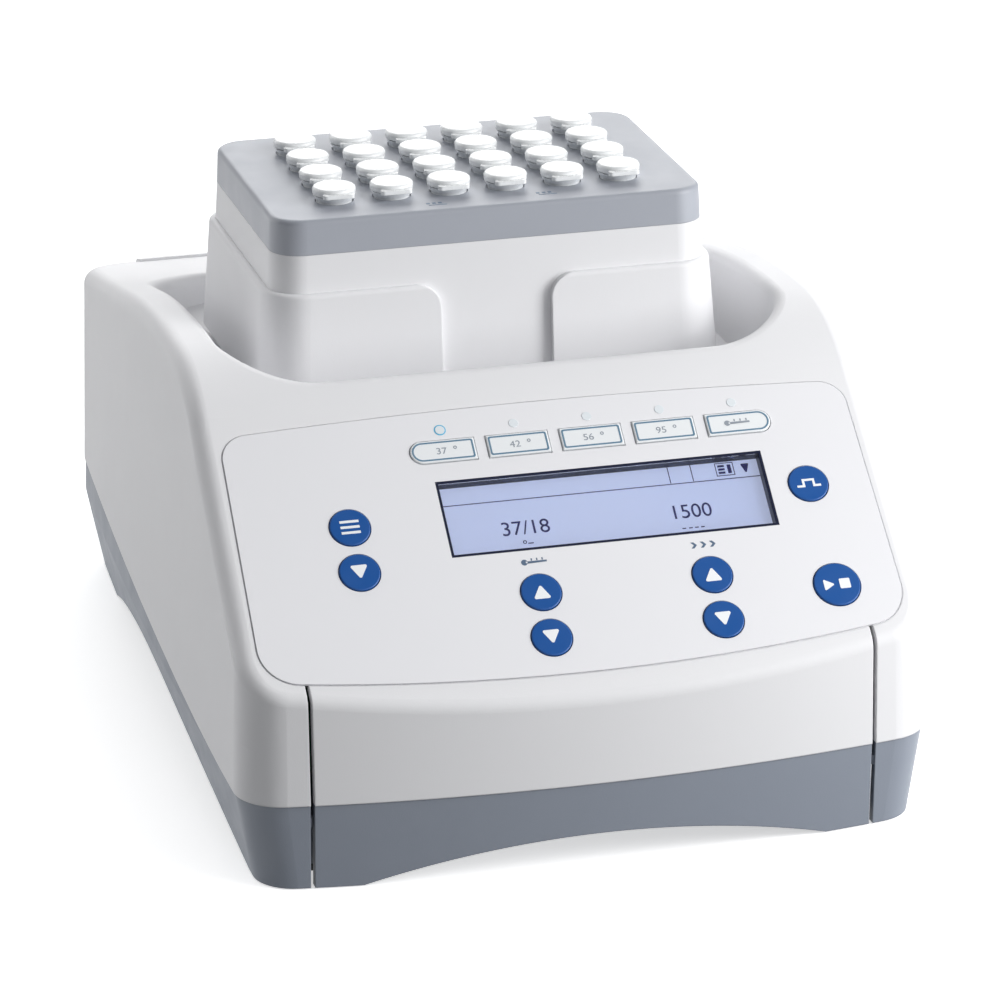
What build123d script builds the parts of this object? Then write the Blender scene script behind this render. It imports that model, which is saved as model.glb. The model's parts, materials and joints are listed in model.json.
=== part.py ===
"""Benchtop thermal mixer: a heated block of micro tubes that an eccentric drive moves in a small orbit.

Frame: millimetres, +Z up, the front faces -Y, the origin lies on the bench under the middle of the housing.
"""
import os
from math import cos, radians, sin

from build123d import *

os.makedirs("parts", exist_ok=True)

# ---- driving dimensions: housing ----
FRONT_Y = -152.0          # middle of the bowed front, at its widest level
REAR_Y = 151.43           # middle of the rear wall
REAR_PROUD = 0.8          # the rear panel stands this far out of the shell
WALL = 3.0
DEPTH_REACH = 165.0       # trimming tools reach past the housing by these
WIDE_REACH = 120.0
BASE_STEP = 0.4           # the grey base is set back this far under the white shell
HOUSING_BOTTOM = 0.4
WIDE_Z = 26.5             # level at which the housing is widest
CEILING_Z = 136.0         # above every point of the top
FRONT_BOW_RADIUS = 533.0
RIM_ROUND = 5.0

# plan sections: (height, front y, rear y, half width at front, middle and rear, front and rear corner radius)
FOOT_SECTION = (HOUSING_BOTTOM, FRONT_Y + 1.6, REAR_Y - 3.6, 98.0, 96.8, 90.2, 13.0, 20.0)
WIDE_SECTION = (WIDE_Z, FRONT_Y, REAR_Y, 102.3, 102.1, 95.05, 15.0, 22.0)
CEILING_SECTION = (CEILING_Z, FRONT_Y + 2.4, REAR_Y - 2.4, 98.9, 98.6, 91.6, 13.0, 20.0)
REAR_BOW = 2.0

# the parting line between shell and base in side view; it climbs to the rear
PARTING_LINE = [(-DEPTH_REACH, WIDE_Z), (-120.0, 26.7), (-40.0, 30.7), (40.0, 34.8), (DEPTH_REACH, 37.2)]

# top line in side view: a flat control panel, a round shoulder, then a deck falling to the rear
PANEL_TILT = 40.2
PANEL_Y = -134.9
PANEL_Z = 66.2
PANEL_RUN = 81.0          # along the slope, from the panel's origin to the shoulder
SHOULDER_RADIUS = 51.3
DECK_RADIUS = 369.0
DECK_FALL = 12.5

# seams between the shell and the front and rear panels
SEAM_X = 83.0
SEAM_GAP = 1.2
REAR_SEAM_X = 74.0
REAR_WRAP_Y = 141.0
FRONT_BAND = 30.0         # the front skirt lies within this depth of the front
SKIRT_GAP = 0.3

# ---- driving dimensions: control panel, on the panel plane ----
FOIL_THICK = 0.8
FOIL_GAP = 0.35           # the dark line round the foil
FOIL_CORNER_LOW = 12.0
FOIL_CORNER_TOP = 8.0
FOIL_PROUD = 0.3
FOIL_HALF_TOP = 93.4
FOIL_HALF_BOTTOM = 95.2
FOIL_BOTTOM_MID = -13.0
FOIL_BOTTOM_END = -6.0
FOIL_TOP_MID = 76.5
FOIL_TOP_END = 73.8
KEY_PROUD = 0.75
KEY_GAP = 0.3
KEY_FLANGE = 0.9
KEY_FLANGE_TOP = -0.8
KEY_BOTTOM = -1.6
KEY_TRAVEL = 0.4
KEY_RADIUS = 5.9
START_RADIUS = 6.9
PRESET_PITCH = 22.0
PRESET_SIZE = (18.4, 7.2)
PRESET_END_EXTRA = 1.0
DISPLAY_CENTRE = (15.0, 40.3)
DISPLAY_SIZE = (97.8, 25.2)
DISPLAY_DEPTH = 3.2
BEZEL_WALL = 0.8
LED_RADIUS = 1.4
LED_ROW_V = 69.9
BOARD_TOP = -4.5
BOARD_THICK = 1.6
LCD_THICK = 3.4
SWITCH_RADIUS = 2.6
KEYPAD_BOARD_CENTRE = (6.0, 32.0)
KEYPAD_BOARD_SIZE = (164.0, 82.0)
WINDOW_SIZE = (DISPLAY_SIZE[0] - 2 * BEZEL_WALL, DISPLAY_SIZE[1] - 2 * BEZEL_WALL)

ROUND_KEYS = {
    "menu_key": (-61.3, 40.7),
    "menu_down_key": (-61.3, 25.9),
    "temp_up_key": (-10.6, 13.7),
    "temp_down_key": (-10.6, -1.1),
    "speed_up_key": (40.3, 13.7),
    "speed_down_key": (40.3, -1.1),
    "short_key": (75.6, 40.3),
}
START_KEY = (76.1, 6.3)
PRESET_V = 62.8
PRESET_COUNT = 5
PRESET_KEYS = {
    f"preset_key_{number + 1}": (DISPLAY_CENTRE[0] + PRESET_PITCH * (number - 2), PRESET_V)
    for number in range(PRESET_COUNT)
}

# ---- driving dimensions: rear panel and base ----
FAN_X = -34.0
FAN_Z = 65.0
VENT_LENGTH = 52.0
VENT_HEIGHT = 2.6
VENT_PITCH = 5.2
VENT_COUNT = 9
INLET_X = 42.0
INLET_Z = 64.0
INLET_BODY = (27.0, 47.0)
INLET_FLANGE = (31.0, 51.0)
INLET_FLANGE_Y = 149.6
INLET_FACE_Y = 151.4
INLET_BACK_Y = 120.0
SOCKET_SIZE = (24.0, 16.0)
SOCKET_DROP = -13.5
SOCKET_DEPTH = 17.0
SOCKET_CHAMFER = 4.0
PIN_SIZE = (2.0, 4.0)
PIN_LENGTH = 14.0
FUSE_OPENING = (22.0, 6.6)
FUSE_RISE = 0.8
FUSE_DEPTH = 18.0
ROCKER_OPENING = (20.8, 12.4)
ROCKER_RISE = 14.6
ROCKER_DEPTH = 15.0
ROCKER_PIVOT_Y = 145.0
ROCKER_TILT = 10.0
FAN_SIZE = 60.0
FAN_REAR_Y = 145.5
FAN_THICK = 20.0
FAN_BORE = 28.0
FAN_HOLE_SPACING = 50.0
ROCKER_HALF = 8.9
ROCKER_HEIGHT = 11.4
FAN_FRONT_Y = FAN_REAR_Y - FAN_THICK
FAN_HUB = 11.0
FAN_PIN = 1.5
BLADES = 7
SIDE_ARCH = [(-128.0, 0.0), (-84.0, 7.6), (-40.0, 14.4), (10.0, 18.4), (56.0, 12.8), (100.0, 0.0)]
FRONT_ARCH_HALF = 70.0
FRONT_ARCH_RISE = 10.4
BELOW = -5.0              # trimming tools for the base start below the bench
FEET = [(-78.0, -124.0), (78.0, -124.0), (-72.0, 126.0), (72.0, 126.0)]
FOOT_HEIGHT = 3.0
FOOT_CUP_RADIUS = 9.0
POSTS = [(x, y) for x in (-76.0, 76.0) for y in (-50.0, 72.0)]
POST_RADIUS = 4.5
SCREW_RADIUS = 2.0
SCREW_DEPTH = 18.0
BOARD_POSTS = [(x, y) for x in (-74.0, 74.0) for y in (-128.0, -76.0)]
SUPPLY_POSTS = [(x, y) for x in (-67.0, 15.0) for y in (87.0, 115.0)]
BOARD_POST_RADIUS = 3.0
FLOOR_VENTS = [(0.0, -95.0), (0.0, 105.0)]
FLOOR_VENT_PITCH = 12.0
FLOOR_VENT_COUNT = 7
FLOOR_VENT_SIZE = (34.0, 3.4)
BOARD_Z = 30.0

# each part on a board: its place, its size in plan and its height
MAIN_BOARD_CENTRE = (0.0, -102.0)
MAIN_BOARD_SIZE = (160.0, 64.0)
CHIPS = [
    ((-30.0, -104.0), (20.0, 20.0), 2.0),
    ((4.0, -112.0), (12.0, 9.0), 2.0),
    ((4.0, -94.0), (12.0, 9.0), 2.0),
]
PLUGS = [((-62.0, -84.0), (16.0, 8.0), 9.0), ((58.0, -78.0), (26.0, 7.0), 9.0)]
CAPACITOR_CENTRE = (34.0, -116.0)
CAPACITOR_PITCH = 12.0
CAPACITOR_RADIUS = 4.5
CAPACITOR_HEIGHT = 13.0
SUPPLY_CENTRE = (-26.0, 101.0)
SUPPLY_SIZE = (92.0, 38.0)
TRANSFORMER = ((-22.0, 101.0), (28.0, 24.0), 20.0)
CHOKE = ((8.0, 101.0), (12.0, 22.0), 20.0)
RESERVOIRS = [((-52.0, 107.0), 7.5), ((-52.0, 90.0), 5.5)]
RESERVOIR_HEIGHT = 24.0
PANEL_POSTS = [(-70.0, 8.0), (-70.0, 66.0), (82.0, 66.0), (60.0, -4.0)]

# ---- driving dimensions: well and drive ----
BLOCK_Y = 11.0
WELL_HALF_X = 86.0
WELL_FRONT_Y = -63.5
WELL_REAR_Y = 85.5
WELL_CORNER = 26.0
WELL_FLOOR_Z = 103.0
WELL_TAPER = 4.0
WELL_RIM_ROUND = 3.5
APERTURE = (116.0, 76.0)
APERTURE_LIP = 3.0
APERTURE_CORNER = 6.0

FLOOR_Z = 19.0
PLATE_Z = 47.0
PLATE_THICK = 9.0
PLATE_SIZE = (136.0, 116.0)
ORBIT_RADIUS = 1.5        # a 3 mm orbit
RUNNING = 0.03            # radial clearance of every running fit
IDLER_SPREAD = (56.0, 36.0)
IDLER_SHAFT = 3.0
IDLER_BEARING = (8.0, 5.0)
MAIN_SHAFT = 5.0
MAIN_BEARING = (11.0, 7.0)
PLATFORM_Z = 72.0
PLATFORM_THICK = 6.0
PLATFORM_SIZE = (140.0, 104.0)
PEDESTAL = (104.0, 64.0)
PEDESTAL_WALL = 6.0
PLATE_POSTS = [(x, BLOCK_Y + y) for x in (-62.0, 62.0) for y in (-52.0, 52.0)]
SEAT_Z = 108.0
SEAT_THICK = 4.0
MAT_THICK = 2.0
SENSOR_DEPTH = 12.0

DRIVE = (-ORBIT_RADIUS, BLOCK_Y)
IDLERS = [(DRIVE[0] + x, BLOCK_Y + y) for x in (-IDLER_SPREAD[0], IDLER_SPREAD[0])
          for y in (-IDLER_SPREAD[1], IDLER_SPREAD[1])]
MOTOR_RADIUS = 31.0
MOTOR_BOTTOM = 28.0
MOTOR_FLANGE = 66.0
WEB_Z = 60.0
WEB_HIGH = 66.0
WEB_RADIUS = 16.0
WEIGHT_RADIUS = 38.0
IDLER_WEB_Z = 58.0
IDLER_WEB_HIGH = 64.0
IDLER_WEB_RADIUS = 8.0
PIN_TOP = PLATFORM_Z + 5
MAIN_PIN = (DRIVE[0] + ORBIT_RADIUS, DRIVE[1])
IDLER_PINS = [(x + ORBIT_RADIUS, y) for x, y in IDLERS]
MAIN_BEARING_Z = PLATFORM_Z - 2
BLOCK_SCREWS = [(x, BLOCK_Y + y) for x in (-35.0, 35.0) for y in (-17.5, 17.5)]
SENSOR_RADIUS = 2.0
HEAD_RADIUS = 3.6
HEAD_HEIGHT = 2.6

# ---- driving dimensions: block and tubes ----
BLOCK_TOP_Z = 163.0
CAP_SIZE = (131.4, 90.2)
CAP_CORNER = 9.5
CAP_HEIGHT = 10.5
CAP_PLATE = 3.0
SKIRT_BOTTOM_Z = 107.0
COLLAR_TOP_Z = 141.0
COLLAR_THICK = 2.7
COLLAR_SLOT = 17.0
COLLAR_SLOT_ROUND = 7.0
ALU_SIZE = (112.0, 76.0)
MAT_Z = SEAT_Z + SEAT_THICK
ALU_Z = MAT_Z + MAT_THICK
ALU_TOP = BLOCK_TOP_Z - CAP_PLATE
BORE_STRAIGHT_Z = 142.0
BORE_END_Z = 124.5
CAP_LOW_Z = BLOCK_TOP_Z - CAP_HEIGHT
CAP_FLARE = 0.8
CAP_ROUND = 1.6
CAP_LOW_SIZE = (CAP_SIZE[0] + CAP_FLARE, CAP_SIZE[1] + CAP_FLARE)
TONGUE = (CAP_LOW_SIZE[0] - 6.0, CAP_LOW_SIZE[1] - 6.0)
SKIRT_FLARE = 5.0
SKIRT_WALL = 2.5
SKIRT_LOW_SIZE = (CAP_LOW_SIZE[0] + SKIRT_FLARE, CAP_LOW_SIZE[1] + SKIRT_FLARE)
SKIRT_INSIDE = (SKIRT_LOW_SIZE[0] - 2 * SKIRT_WALL, SKIRT_LOW_SIZE[1] - 2 * SKIRT_WALL)
TONGUE_INSIDE = (TONGUE[0] - 2 * SKIRT_WALL, TONGUE[1] - 2 * SKIRT_WALL)
COLLAR_LOW_SIZE = (142.6, 101.4)
COLLAR_TOP_SIZE = (137.6, 96.4)
TUBE_PITCH = 17.5
TUBE_COLUMNS = 6
TUBE_ROWS = 4
TUBE_RADIUS = 5.4
TUBE_LENGTH = 38.0
TUBE_GAP = 0.35
TUBE_WALL = 1.0
TUBE_STRAIGHT_Z = 142.5
TUBE_TIP_Z = 125.8
FLANGE_LOW = BLOCK_TOP_Z + 0.3
FLANGE_HIGH = BLOCK_TOP_Z + 2.0
FLANGE_RADIUS = 6.5
LID_LOW = FLANGE_HIGH + 0.3
LID_HIGH = LID_LOW + 2.4
PLUG_RADIUS = 4.1
PLUG_INSIDE = 3.0
PLUG_DEPTH = 1.6
LIP_SIZE = (9.5, 2.6)
HINGE_REACH = 8.0
HINGE_Z = LID_LOW + 0.6
STRAP_WIDTH = 4.8

SLOPE = Vector(0, cos(radians(PANEL_TILT)), sin(radians(PANEL_TILT)))
PANEL = Plane(
    origin=(0, PANEL_Y, PANEL_Z),
    x_dir=(1, 0, 0),
    z_dir=(0, -sin(radians(PANEL_TILT)), cos(radians(PANEL_TILT))),
)
PANEL_UP = Axis((0, 0, 0), SLOPE)


def save(piece, label):
    """Name a finished piece and write it."""
    piece.part.label = label
    export_step(piece.part, f"parts/{label}.step")


def rear_plane(depth):
    """A plane facing rearwards at a depth; its x runs to the left of the part, its y runs up."""
    return Plane(origin=(0, depth, 0), x_dir=(-1, 0, 0), z_dir=(0, 1, 0))


# ---- the housing's outer form ----
def plan_section(section, inset):
    """Plan outline at one height, drawn in by inset: bowed front, gently bowed sides, rounded corners."""
    height, front, rear, half_front, half_mid, half_rear, front_corner, rear_corner = section
    half_front, half_mid, half_rear = half_front - inset, half_mid - inset, half_rear - inset
    front, rear = front + inset, rear - inset
    front_end = front + half_front**2 / (2 * FRONT_BOW_RADIUS)
    rear_end = rear - REAR_BOW
    with BuildSketch(Plane.XY.offset(height)) as outline:
        with BuildLine():
            ThreePointArc((-half_front, front_end), (0, front), (half_front, front_end))
            ThreePointArc((half_front, front_end), (half_mid, 0), (half_rear, rear_end))
            ThreePointArc((half_rear, rear_end), (0, rear), (-half_rear, rear_end))
            ThreePointArc((-half_rear, rear_end), (-half_mid, 0), (-half_front, front_end))
        make_face()
        corners = outline.vertices().sort_by(Axis.Y)
        fillet(corners[:2], front_corner - inset)
        fillet(outline.vertices().sort_by(Axis.Y)[-2:], rear_corner - inset)
    return outline.sketch


def top_line(inset):
    """Side profile under the top line, moved in by inset: panel, shoulder and falling deck, all tangent."""
    along = Vector(SLOPE.Y, SLOPE.Z)
    inward = Vector(SLOPE.Z, -SLOPE.Y) * inset
    origin = Vector(PANEL_Y, PANEL_Z) + inward
    low, high = origin - along * 60, origin + along * PANEL_RUN
    below = -30.0
    with BuildSketch(Plane.YZ) as profile:
        with BuildLine():
            Line(low, high)
            shoulder = JernArc(high, along, SHOULDER_RADIUS - inset, -PANEL_TILT)
            deck = JernArc(shoulder @ 1, shoulder % 1, DECK_RADIUS - inset, -DECK_FALL)
            tail = Line(deck @ 1, deck @ 1 + (deck % 1) * 140)
            Polyline(tail @ 1, ((tail @ 1).X, below), (low.X, below), low)
        make_face()
    return profile.sketch


def housing_form(inset):
    """The closed outer form of the housing, drawn in by inset."""
    with BuildPart() as form:
        loft([plan_section(FOOT_SECTION, inset), plan_section(WIDE_SECTION, inset)])
        loft([plan_section(WIDE_SECTION, inset), plan_section(CEILING_SECTION, inset)])
        extrude(top_line(inset), amount=SEAM_X * 2, both=True, mode=Mode.INTERSECT)
    return form.part


def rounded_form(inset, radius):
    """The outer form with its top edge rounded."""
    with BuildPart() as form:
        add(housing_form(inset))
        crossing = form.edges().filter_by(Axis.X)
        rim = ShapeList(
            edge
            for edge in form.edges()
            if edge not in crossing and edge.center().Z > WIDE_Z + 5 and abs((edge % 0.5).Z) < 0.9
        )
        fillet(rim, radius)
    return form.part


def above_parting():
    """Everything above the line where the white shell meets the grey base; the line climbs to the rear."""
    with BuildPart() as region:
        with BuildSketch(Plane.YZ):
            with BuildLine():
                Spline(*PARTING_LINE)
                high_rear, high_front = (DEPTH_REACH, CEILING_Z), (-DEPTH_REACH, CEILING_Z)
                Polyline(PARTING_LINE[-1], high_rear, high_front, PARTING_LINE[0])
            make_face()
        extrude(amount=WIDE_REACH, both=True)
    return region.part


def front_region(half_width):
    """The part of the front that is its own panel: below a bowed line hidden under the foil's lower edge."""
    hidden, far = 1.2, -80
    left = (-FOIL_HALF_BOTTOM, FOIL_BOTTOM_END + hidden)
    right = (FOIL_HALF_BOTTOM, FOIL_BOTTOM_END + hidden)
    with BuildPart() as region:
        with BuildSketch(PANEL.offset(-60)):
            with BuildLine():
                ThreePointArc(left, (0, FOIL_BOTTOM_MID + hidden), right)
                Polyline(right, (right[0], far), (left[0], far), left)
            make_face()
            Rectangle(2 * half_width, -3 * far, mode=Mode.INTERSECT)
        extrude(amount=90)
    return region.part


def rear_region(half_width):
    """The part of the rear that is its own panel, wrapped over the rear top edge."""
    return slab(WIDE_Z, CEILING_Z, half_width, 20, (0, REAR_WRAP_Y + 20))


def slab(low, high, half_x=WIDE_REACH, half_y=DEPTH_REACH, centre=(0, 0)):
    """A block from one height to another, used to trim a form."""
    with BuildPart() as block:
        with BuildSketch(Plane.XY.offset(low)):
            with Locations(centre):
                Rectangle(2 * half_x, 2 * half_y)
        extrude(amount=high - low)
    return block.part


def well_form(grow, floor):
    """The well's inside, grown by a wall: tapering down from the rim to the floor."""
    middle = (WELL_FRONT_Y + WELL_REAR_Y) / 2
    width, length = 2 * (WELL_HALF_X + grow), WELL_REAR_Y - WELL_FRONT_Y + 2 * grow
    with BuildPart() as form:
        for height, taper in [(floor, WELL_TAPER), (CEILING_Z, 0)]:
            with BuildSketch(Plane.XY.offset(height)):
                with Locations((0, middle)):
                    RectangleRounded(width - 2 * taper, length - 2 * taper, WELL_CORNER + grow - taper / 2)
        loft()
    return form.part


def foil_outline(grow):
    """The keypad foil's outline, grown by a gap: bowed along the top and bottom, with round corners."""
    with BuildSketch(PANEL.offset(FOIL_PROUD - FOIL_THICK)) as outline:
        with BuildLine():
            low_left = (-FOIL_HALF_BOTTOM - grow, FOIL_BOTTOM_END - grow)
            low_right = (FOIL_HALF_BOTTOM + grow, FOIL_BOTTOM_END - grow)
            top_left = (-FOIL_HALF_TOP - grow, FOIL_TOP_END + grow)
            top_right = (FOIL_HALF_TOP + grow, FOIL_TOP_END + grow)
            ThreePointArc(low_left, (0, FOIL_BOTTOM_MID - grow), low_right)
            Line(low_right, top_right)
            ThreePointArc(top_right, (0, FOIL_TOP_MID + grow), top_left)
            Line(top_left, low_left)
        make_face()
        corners = outline.vertices().sort_by(PANEL_UP)
        fillet(corners[:2], FOIL_CORNER_LOW + grow)
        fillet(outline.vertices().sort_by(PANEL_UP)[-2:], FOIL_CORNER_TOP + grow)
    return outline.sketch


def key_plan(level, name, centre, grow):
    """One key's outline on the panel plane: round, or an oblong, with a round outer end on the two end keys."""
    width, height = PRESET_SIZE
    side = ROUND_ENDS.get(name, 0)
    trim = PRESET_END_EXTRA - height / 2 - grow if side else 0
    with BuildSketch(PANEL.offset(level)) as outline:
        if name.startswith("preset"):
            with Locations((centre[0] + side * trim / 2, centre[1])):
                Rectangle(width + trim + 2 * grow, height + 2 * grow)
        else:
            with Locations(centre):
                Circle((START_RADIUS if name == "start_stop_key" else KEY_RADIUS) + grow)
        if side:
            with Locations((centre[0] + side * (width / 2 + trim + grow), centre[1])):
                Circle(height / 2 + grow)
    return outline.sketch


ROUND_ENDS = {"preset_key_1": -1, "preset_key_5": 1}
KEYS = {**ROUND_KEYS, "start_stop_key": START_KEY, **PRESET_KEYS}
outer_form = rounded_form(0, RIM_ROUND)
inner_form = housing_form(WALL)
upper_region = above_parting()

# recess for the foil, and the openings behind the keys, the display and the light pipes
with BuildPart() as panel_cutter:
    extrude(foil_outline(FOIL_GAP), amount=FOIL_THICK + 1)
    for key_name, key_centre in KEYS.items():
        extrude(key_plan(-WALL - 1, key_name, key_centre, KEY_FLANGE + KEY_GAP), amount=WALL + 1)
    with BuildSketch(PANEL.offset(-WALL - 1)):
        with Locations(DISPLAY_CENTRE):
            Rectangle(*DISPLAY_SIZE)
        for preset_centre in PRESET_KEYS.values():
            with Locations((preset_centre[0], LED_ROW_V)):
                Circle(LED_RADIUS)
    extrude(amount=WALL + 1)
panel_cuts = panel_cutter.part

# ---- upper housing: white shell with the well moulded in ----
with BuildPart() as cavity:
    add(inner_form)
    add(well_form(WALL, WELL_FLOOR_Z - WALL), mode=Mode.SUBTRACT)

with BuildPart() as upper_housing:
    add(outer_form)
    add(well_form(0, WELL_FLOOR_Z), mode=Mode.SUBTRACT)
    rim = upper_housing.edges().filter_by(
        lambda edge: edge.center().Z > WELL_FLOOR_Z + 2
        and abs(edge.center().X) < WELL_HALF_X + 1
        and WELL_FRONT_Y - 1 < edge.center().Y < WELL_REAR_Y + 1
        and abs((edge % 0.5).Z) < 0.9
    )
    fillet(rim - rim.filter_by(Axis.X), WELL_RIM_ROUND)
    add(cavity.part, mode=Mode.SUBTRACT)
    add(upper_region, mode=Mode.INTERSECT)
    with BuildSketch(Plane.XY.offset(FLOOR_Z + WALL)):
        with Locations(*POSTS):
            Circle(POST_RADIUS)
    extrude(amount=WELL_FLOOR_Z - FLOOR_Z - WALL - 1)
    with BuildSketch(Plane.XY.offset(FLOOR_Z + WALL)):
        with Locations(*POSTS):
            Circle(SCREW_RADIUS)
    extrude(amount=SCREW_DEPTH, mode=Mode.SUBTRACT)
    with BuildSketch(Plane.XY.offset(WELL_FLOOR_Z - WALL)):
        with Locations((0, BLOCK_Y)):
            RectangleRounded(*APERTURE, APERTURE_CORNER)
            offset(amount=APERTURE_LIP)
    extrude(amount=WALL + APERTURE_LIP)
    with BuildSketch(Plane.XY.offset(WELL_FLOOR_Z - 2 * WALL)):
        with Locations((0, BLOCK_Y)):
            RectangleRounded(*APERTURE, APERTURE_CORNER)
    extrude(amount=3 * WALL, mode=Mode.SUBTRACT)
    with BuildSketch(PANEL.offset(BOARD_TOP)):
        with Locations(*PANEL_POSTS):
            Circle(BOARD_POST_RADIUS)
    extrude(amount=-BOARD_TOP - 1)
    add(front_region(SEAM_X + SEAM_GAP / 2), mode=Mode.SUBTRACT)
    add(rear_region(REAR_SEAM_X + SEAM_GAP / 2), mode=Mode.SUBTRACT)
    add(panel_cuts, mode=Mode.SUBTRACT)
save(upper_housing, "upper_housing")

# ---- front panel: the white piece between the front seams ----
with BuildPart() as front_panel:
    add(outer_form)
    add(inner_form, mode=Mode.SUBTRACT)
    add(upper_region, mode=Mode.INTERSECT)
    add(front_region(SEAM_X - SEAM_GAP / 2), mode=Mode.INTERSECT)
    add(panel_cuts, mode=Mode.SUBTRACT)
save(front_panel, "front_panel")

# ---- rear panel: stands slightly proud, carries the vents and the inlet ----
with BuildPart() as rear_panel:
    add(rounded_form(-REAR_PROUD, RIM_ROUND))
    add(inner_form, mode=Mode.SUBTRACT)
    add(rear_region(REAR_SEAM_X - SEAM_GAP / 2), mode=Mode.INTERSECT)
    add(upper_region, mode=Mode.INTERSECT)
    with BuildSketch(rear_plane(REAR_Y + REAR_PROUD)):
        with Locations((-FAN_X, FAN_Z)):
            with GridLocations(0, VENT_PITCH, 1, VENT_COUNT):
                SlotOverall(VENT_LENGTH, VENT_HEIGHT)
        with Locations((-INLET_X, INLET_Z)):
            Rectangle(*INLET_BODY)
    extrude(amount=-12, mode=Mode.SUBTRACT)
    with BuildSketch(rear_plane(INLET_FLANGE_Y)):
        with Locations((-INLET_X, INLET_Z)):
            Rectangle(*INLET_FLANGE)
    extrude(amount=10, mode=Mode.SUBTRACT)
    with BuildSketch(rear_plane(FAN_REAR_Y)):
        with Locations((-FAN_X, FAN_Z)):
            with GridLocations(FAN_HOLE_SPACING, FAN_HOLE_SPACING, 2, 2):
                Circle(2.5)
    extrude(amount=REAR_Y - 1 - FAN_REAR_Y)
save(rear_panel, "rear_panel")

# ---- grey base ----
base_outer = housing_form(BASE_STEP)
base_inner = housing_form(BASE_STEP + WALL)
with BuildPart() as arch_cutter:
    with BuildSketch(Plane.YZ):
        with BuildLine():
            Spline(*SIDE_ARCH)
            Polyline(SIDE_ARCH[-1], (SIDE_ARCH[-1][0], BELOW), (SIDE_ARCH[0][0], BELOW), SIDE_ARCH[0])
        make_face()
    extrude(amount=WIDE_REACH, both=True)
    with BuildSketch(Plane.XZ.offset(-FRONT_Y - FRONT_BAND)):
        with BuildLine():
            arch_left, arch_right = (-FRONT_ARCH_HALF, 0), (FRONT_ARCH_HALF, 0)
            ThreePointArc(arch_left, (0, FRONT_ARCH_RISE), arch_right)
            Polyline(arch_right, (FRONT_ARCH_HALF, BELOW), (-FRONT_ARCH_HALF, BELOW), arch_left)
        make_face()
    extrude(amount=2 * FRONT_BAND)

with BuildPart() as skirt_room:
    add(slab(0, WIDE_Z, SEAM_X, FRONT_BAND, (0, FRONT_Y)))
    add(housing_form(BASE_STEP + WALL + SKIRT_GAP), mode=Mode.SUBTRACT)

with BuildPart() as base_floor:
    add(housing_form(BASE_STEP + 1))
    add(slab(FLOOR_Z, FLOOR_Z + WALL), mode=Mode.INTERSECT)
    add(skirt_room.part, mode=Mode.SUBTRACT)

with BuildPart() as lower_housing:
    add(base_outer)
    add(base_inner, mode=Mode.SUBTRACT)
    add(upper_region, mode=Mode.SUBTRACT)
    add(slab(WIDE_Z - 30, WIDE_Z + 20, SEAM_X + SEAM_GAP / 2, 40, (0, FRONT_Y + 10)), mode=Mode.SUBTRACT)
    add(base_floor.part)
    with BuildSketch(Plane.XY.offset(FOOT_HEIGHT)):
        with Locations(*FEET):
            Circle(FOOT_CUP_RADIUS)
    extrude(amount=FLOOR_Z - FOOT_HEIGHT + 1)
    with BuildSketch(Plane.XY.offset(FLOOR_Z + 1)):
        with Locations(*PLATE_POSTS):
            Circle(POST_RADIUS)
    extrude(amount=PLATE_Z - FLOOR_Z - 1)
    with BuildSketch(Plane.XY.offset(FLOOR_Z + 1)):
        with Locations(*BOARD_POSTS, *SUPPLY_POSTS):
            Circle(BOARD_POST_RADIUS)
    extrude(amount=BOARD_Z - FLOOR_Z - 1)
    with BuildSketch(Plane.XY.offset(PLATE_Z - SCREW_DEPTH)):
        with Locations(*PLATE_POSTS):
            Circle(SCREW_RADIUS)
    extrude(amount=SCREW_DEPTH, mode=Mode.SUBTRACT)
    add(arch_cutter.part, mode=Mode.SUBTRACT)
    with BuildSketch(Plane.XY.offset(FLOOR_Z - 1)):
        with Locations(*POSTS):
            Circle(SCREW_RADIUS)
        with Locations(*FLOOR_VENTS):
            with GridLocations(FLOOR_VENT_PITCH, 0, FLOOR_VENT_COUNT, 1):
                SlotOverall(*FLOOR_VENT_SIZE, rotation=90)
    extrude(amount=WALL + 2, mode=Mode.SUBTRACT)
save(lower_housing, "lower_housing")

with BuildPart() as front_skirt:
    add(base_outer)
    add(base_inner, mode=Mode.SUBTRACT)
    add(upper_region, mode=Mode.SUBTRACT)
    add(slab(WIDE_Z - 30, WIDE_Z + 20, SEAM_X - SEAM_GAP / 2, 20, (0, FRONT_Y + 10)), mode=Mode.INTERSECT)
    add(arch_cutter.part, mode=Mode.SUBTRACT)
save(front_skirt, "front_skirt")

# ---- control panel ----
with BuildPart() as keypad_foil:
    extrude(foil_outline(0), amount=FOIL_THICK)
    for key_name, key_centre in KEYS.items():
        extrude(key_plan(-1, key_name, key_centre, KEY_GAP), amount=2, mode=Mode.SUBTRACT)
    with BuildSketch(PANEL.offset(-1)):
        with Locations(DISPLAY_CENTRE):
            Rectangle(*DISPLAY_SIZE)
        for preset_centre in PRESET_KEYS.values():
            with Locations((preset_centre[0], LED_ROW_V)):
                Circle(LED_RADIUS)
    extrude(amount=2, mode=Mode.SUBTRACT)
save(keypad_foil, "keypad_foil")

with BuildPart() as display_bezel:
    with BuildSketch(PANEL.offset(-DISPLAY_DEPTH)):
        with Locations(DISPLAY_CENTRE):
            Rectangle(*DISPLAY_SIZE)
            Rectangle(*WINDOW_SIZE, mode=Mode.SUBTRACT)
    extrude(amount=DISPLAY_DEPTH + FOIL_PROUD)
save(display_bezel, "display_bezel")

with BuildPart() as display_window:
    with BuildSketch(PANEL.offset(FOIL_PROUD - FOIL_THICK)):
        with Locations(DISPLAY_CENTRE):
            Rectangle(*WINDOW_SIZE)
    extrude(amount=FOIL_THICK - 0.1)
save(display_window, "display_window")

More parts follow.
